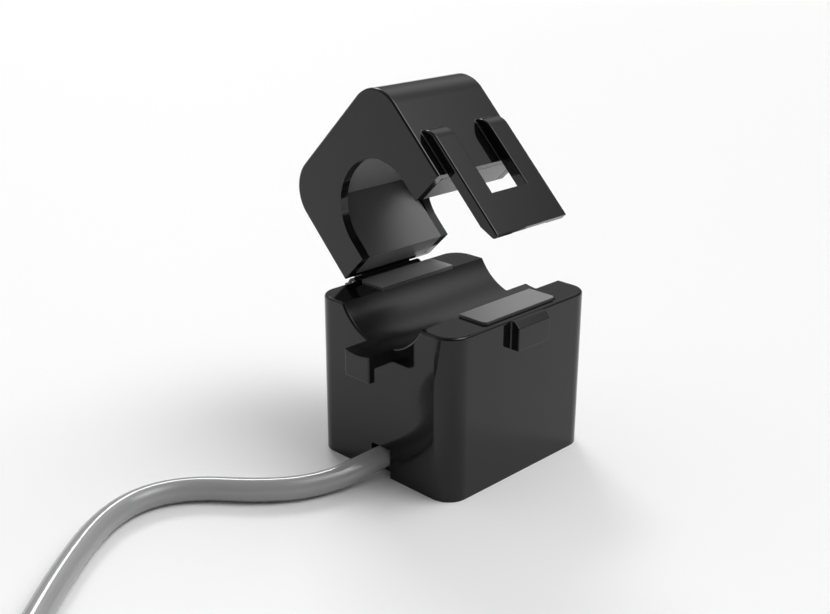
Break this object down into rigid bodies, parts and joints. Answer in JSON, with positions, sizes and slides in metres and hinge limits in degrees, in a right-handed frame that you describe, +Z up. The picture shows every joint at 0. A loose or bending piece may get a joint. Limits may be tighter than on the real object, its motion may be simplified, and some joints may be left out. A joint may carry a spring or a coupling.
{
  "type": "split-core current transformer",
  "caption": "Hinged clip-on current transformer with its lid open: a black base with a round trough, U-shaped core halves, a snap latch and a two-core grey lead.",
  "frame": {"origin": "centre of the base's underside", "axes": "+X across the bore from the hinge to the latch, +Y along the bore away from the lead, +Z up out of the base"},
  "size_m": [0.0593, 0.184, 0.0597],
  "materials": {
    "case_plastic": "glossy moulded black",
    "core_steel": "ground and lacquered pole faces",
    "bobbin_plastic": "moulded black",
    "winding_copper": "enamelled copper wire",
    "tape": "polyester tape",
    "board": "solder mask",
    "resistor_body": "moulded",
    "diode_body": "moulded",
    "tinned_metal": "tinned",
    "white_insulation": "extruded",
    "black_insulation": "extruded",
    "collar_plastic": "moulded",
    "lead_jacket": "smooth grey extruded jacket",
    "pin_steel": "bright steel"
  },
  "bodies": {
    "base": {"base_case": "case_plastic", "base_plate": "case_plastic", "lower_core": "core_steel", "bobbin_front": "bobbin_plastic", "bobbin_back": "bobbin_plastic", "secondary_winding": "winding_copper", "winding_tape": "tape", "circuit_board": "board", "burden_resistor": "resistor_body", "protection_diode": "diode_body", "terminal_pins": "tinned_metal", "winding_leads": "winding_copper", "solder_joints": "tinned_metal", "signal_wire": "white_insulation", "return_wire": "black_insulation", "strain_relief": "collar_plastic", "cable": "lead_jacket", "cable_coil": "lead_jacket", "cable_tail": "lead_jacket", "tail_wire_white": "white_insulation", "tail_wire_black": "black_insulation", "ferrules": "tinned_metal", "ferrule_collars": "white_insulation", "hinge_pin": "pin_steel"},
    "lid": {"lid_case": "case_plastic", "upper_core": "core_steel", "core_spring": "pin_steel"}
  },
  "joints": [
    {"name": "lid_hinge", "type": "hinge", "parent": "base", "child": "lid", "pos_m": [-0.01536, 0, 0.0262], "axis": [0, -1, 0], "range_deg": [-45, 65]}
  ]
}
